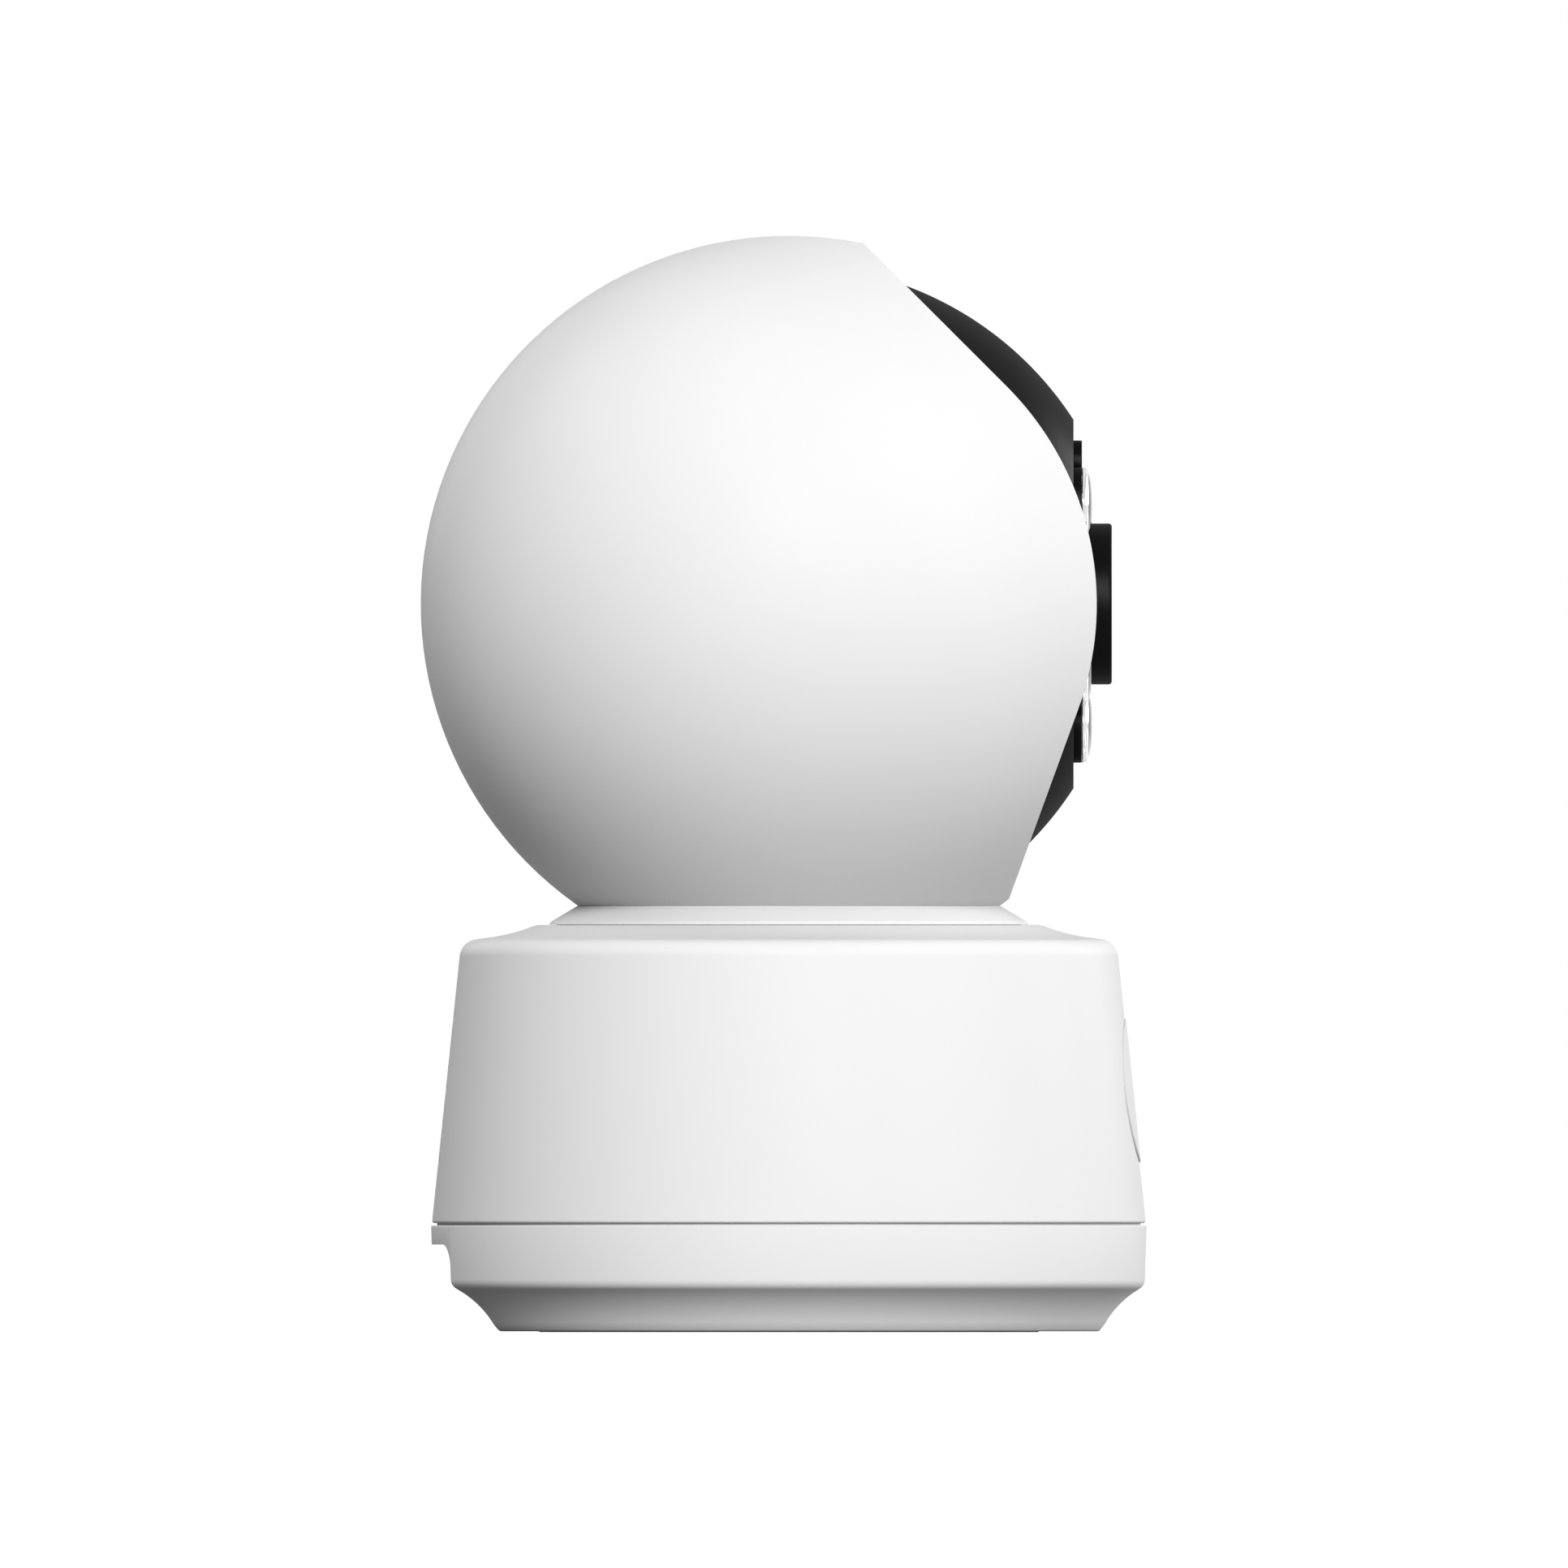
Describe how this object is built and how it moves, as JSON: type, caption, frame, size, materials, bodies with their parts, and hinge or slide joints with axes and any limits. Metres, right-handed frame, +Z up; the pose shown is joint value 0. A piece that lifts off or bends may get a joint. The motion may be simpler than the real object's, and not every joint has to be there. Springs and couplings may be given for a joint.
{
  "type": "pan and tilt security camera",
  "caption": "Indoor security camera: a spherical head pans on a round base and a black ball with the lens and night lights tilts behind its opening.",
  "frame": {"origin": "centre of the underside, on the surface that the camera stands on, on the pan axis", "axes": "+Z up along the pan axis, -Y is the way the lens looks at rest, +X to the camera's left as it looks out"},
  "size_m": [0.0806, 0.0794, 0.12],
  "materials": {
    "white_shell": "satin gloss moulded ABS",
    "badge": "plain blank raised disc, satin",
    "black_shell": "glossy black moulded polycarbonate",
    "clear_dome": "clear moulded acrylic",
    "lens_glass": "coated optical glass",
    "foot_rubber": "soft matt rubber",
    "brass": "turned brass",
    "antenna_foil": "copper foil on film",
    "coil_copper": "enamelled copper winding",
    "screw_steel": "zinc-plated steel",
    "plated_steel": "nickel-plated sheet steel",
    "motor_case": "zinc-plated drawn steel",
    "green_board": "green solder mask",
    "white_board": "white solder mask",
    "black_plastic": "matt black nylon",
    "slide_plastic": "natural acetal",
    "dark_aluminium": "black anodised",
    "sensor_glass": "sensor cover glass",
    "filter_glass": "interference filter glass",
    "ir_chip": "dark epoxy",
    "phosphor": "yellow phosphor",
    "cable_sheath": "black sleeving"
  },
  "bodies": {
    "base": {"base_housing": "white_shell", "bottom_tray": "white_shell", "foot_ring": "foot_rubber", "tripod_insert": "brass", "tray_screws": "screw_steel", "base_board": "green_board", "base_board_screws": "screw_steel", "power_socket": "plated_steel", "speaker": "black_plastic", "wifi_antenna": "antenna_foil", "motor_bracket": "plated_steel", "bracket_screws": "screw_steel", "pan_motor": "motor_case", "slide_ring": "slide_plastic", "base_harness": "cable_sheath", "front_badge": "badge"},
    "head": {"turntable": "white_shell", "pan_gear": "slide_plastic", "pan_gear_screws": "screw_steel", "head_screws": "screw_steel", "head_shell_left": "white_shell", "head_shell_right": "white_shell", "pivot_bushings": "slide_plastic", "tilt_gear": "slide_plastic", "main_board": "green_board", "heatsink": "dark_aluminium", "main_board_screws": "screw_steel", "head_harness": "cable_sheath"},
    "camera": {"ball_front": "black_shell", "ball_rear": "black_shell", "ball_screws": "screw_steel", "led_collars": "black_shell", "led_lenses": "clear_dome", "light_sensor": "black_shell", "lens_bezel": "black_shell", "front_glass": "lens_glass", "lens_barrel": "black_plastic", "lens_elements": "lens_glass", "lens_holder": "black_plastic", "filter_coil": "coil_copper", "image_sensor": "sensor_glass", "camera_board": "green_board", "led_board": "white_board", "ir_leds": "ir_chip", "white_leds": "phosphor", "board_spacers": "black_plastic", "camera_board_screws": "screw_steel", "tilt_motor": "motor_case", "tilt_motor_screws": "screw_steel", "card_board": "green_board", "card_socket": "plated_steel", "reset_switch": "black_plastic", "microphone": "plated_steel", "camera_harness": "cable_sheath"},
    "pan_pinion": {"pan_shaft": "screw_steel", "pan_pinion": "slide_plastic"},
    "tilt_pinion": {"tilt_shaft": "screw_steel", "tilt_pinion": "slide_plastic"},
    "reset_button": {"reset_button": "black_plastic"},
    "ir_cut_filter": {"ir_cut_filter": "filter_glass"}
  },
  "joints": [
    {"name": "pan", "type": "hinge", "parent": "base", "child": "head", "pos_m": [0, 0, 0.0446], "axis": [0, 0, 1], "range_deg": [-177.5, 177.5]},
    {"name": "tilt", "type": "hinge", "parent": "head", "child": "camera", "pos_m": [0, 0, 0.0797], "axis": [-1, 0, 0], "range_deg": [-20, 45]},
    {"name": "pan_pinion_spin", "type": "hinge", "parent": "base", "child": "pan_pinion", "pos_m": [0.0267, 0, 0.04], "axis": [0, 0, 1], "range_deg": [-952, 952]},
    {"name": "tilt_pinion_spin", "type": "hinge", "parent": "camera", "child": "tilt_pinion", "pos_m": [0.0274, -0.005, 0.06662], "axis": [-1, 0, 0], "range_deg": [-61, 136]},
    {"name": "reset_press", "type": "slide", "parent": "camera", "child": "reset_button", "axis": [0, 0.3746, 0.9272], "range_m": [0, 0.0005], "stiffness_N_per_m": 800},
    {"name": "filter_slide", "type": "slide", "parent": "camera", "child": "ir_cut_filter", "axis": [-1, 0, 0], "range_m": [0, 0.0055]}
  ],
  "couplings": [
    {"joint": "pan_pinion_spin", "follows": "pan", "ratio": -5.3571},
    {"joint": "tilt_pinion_spin", "follows": "tilt", "ratio": 3}
  ]
}
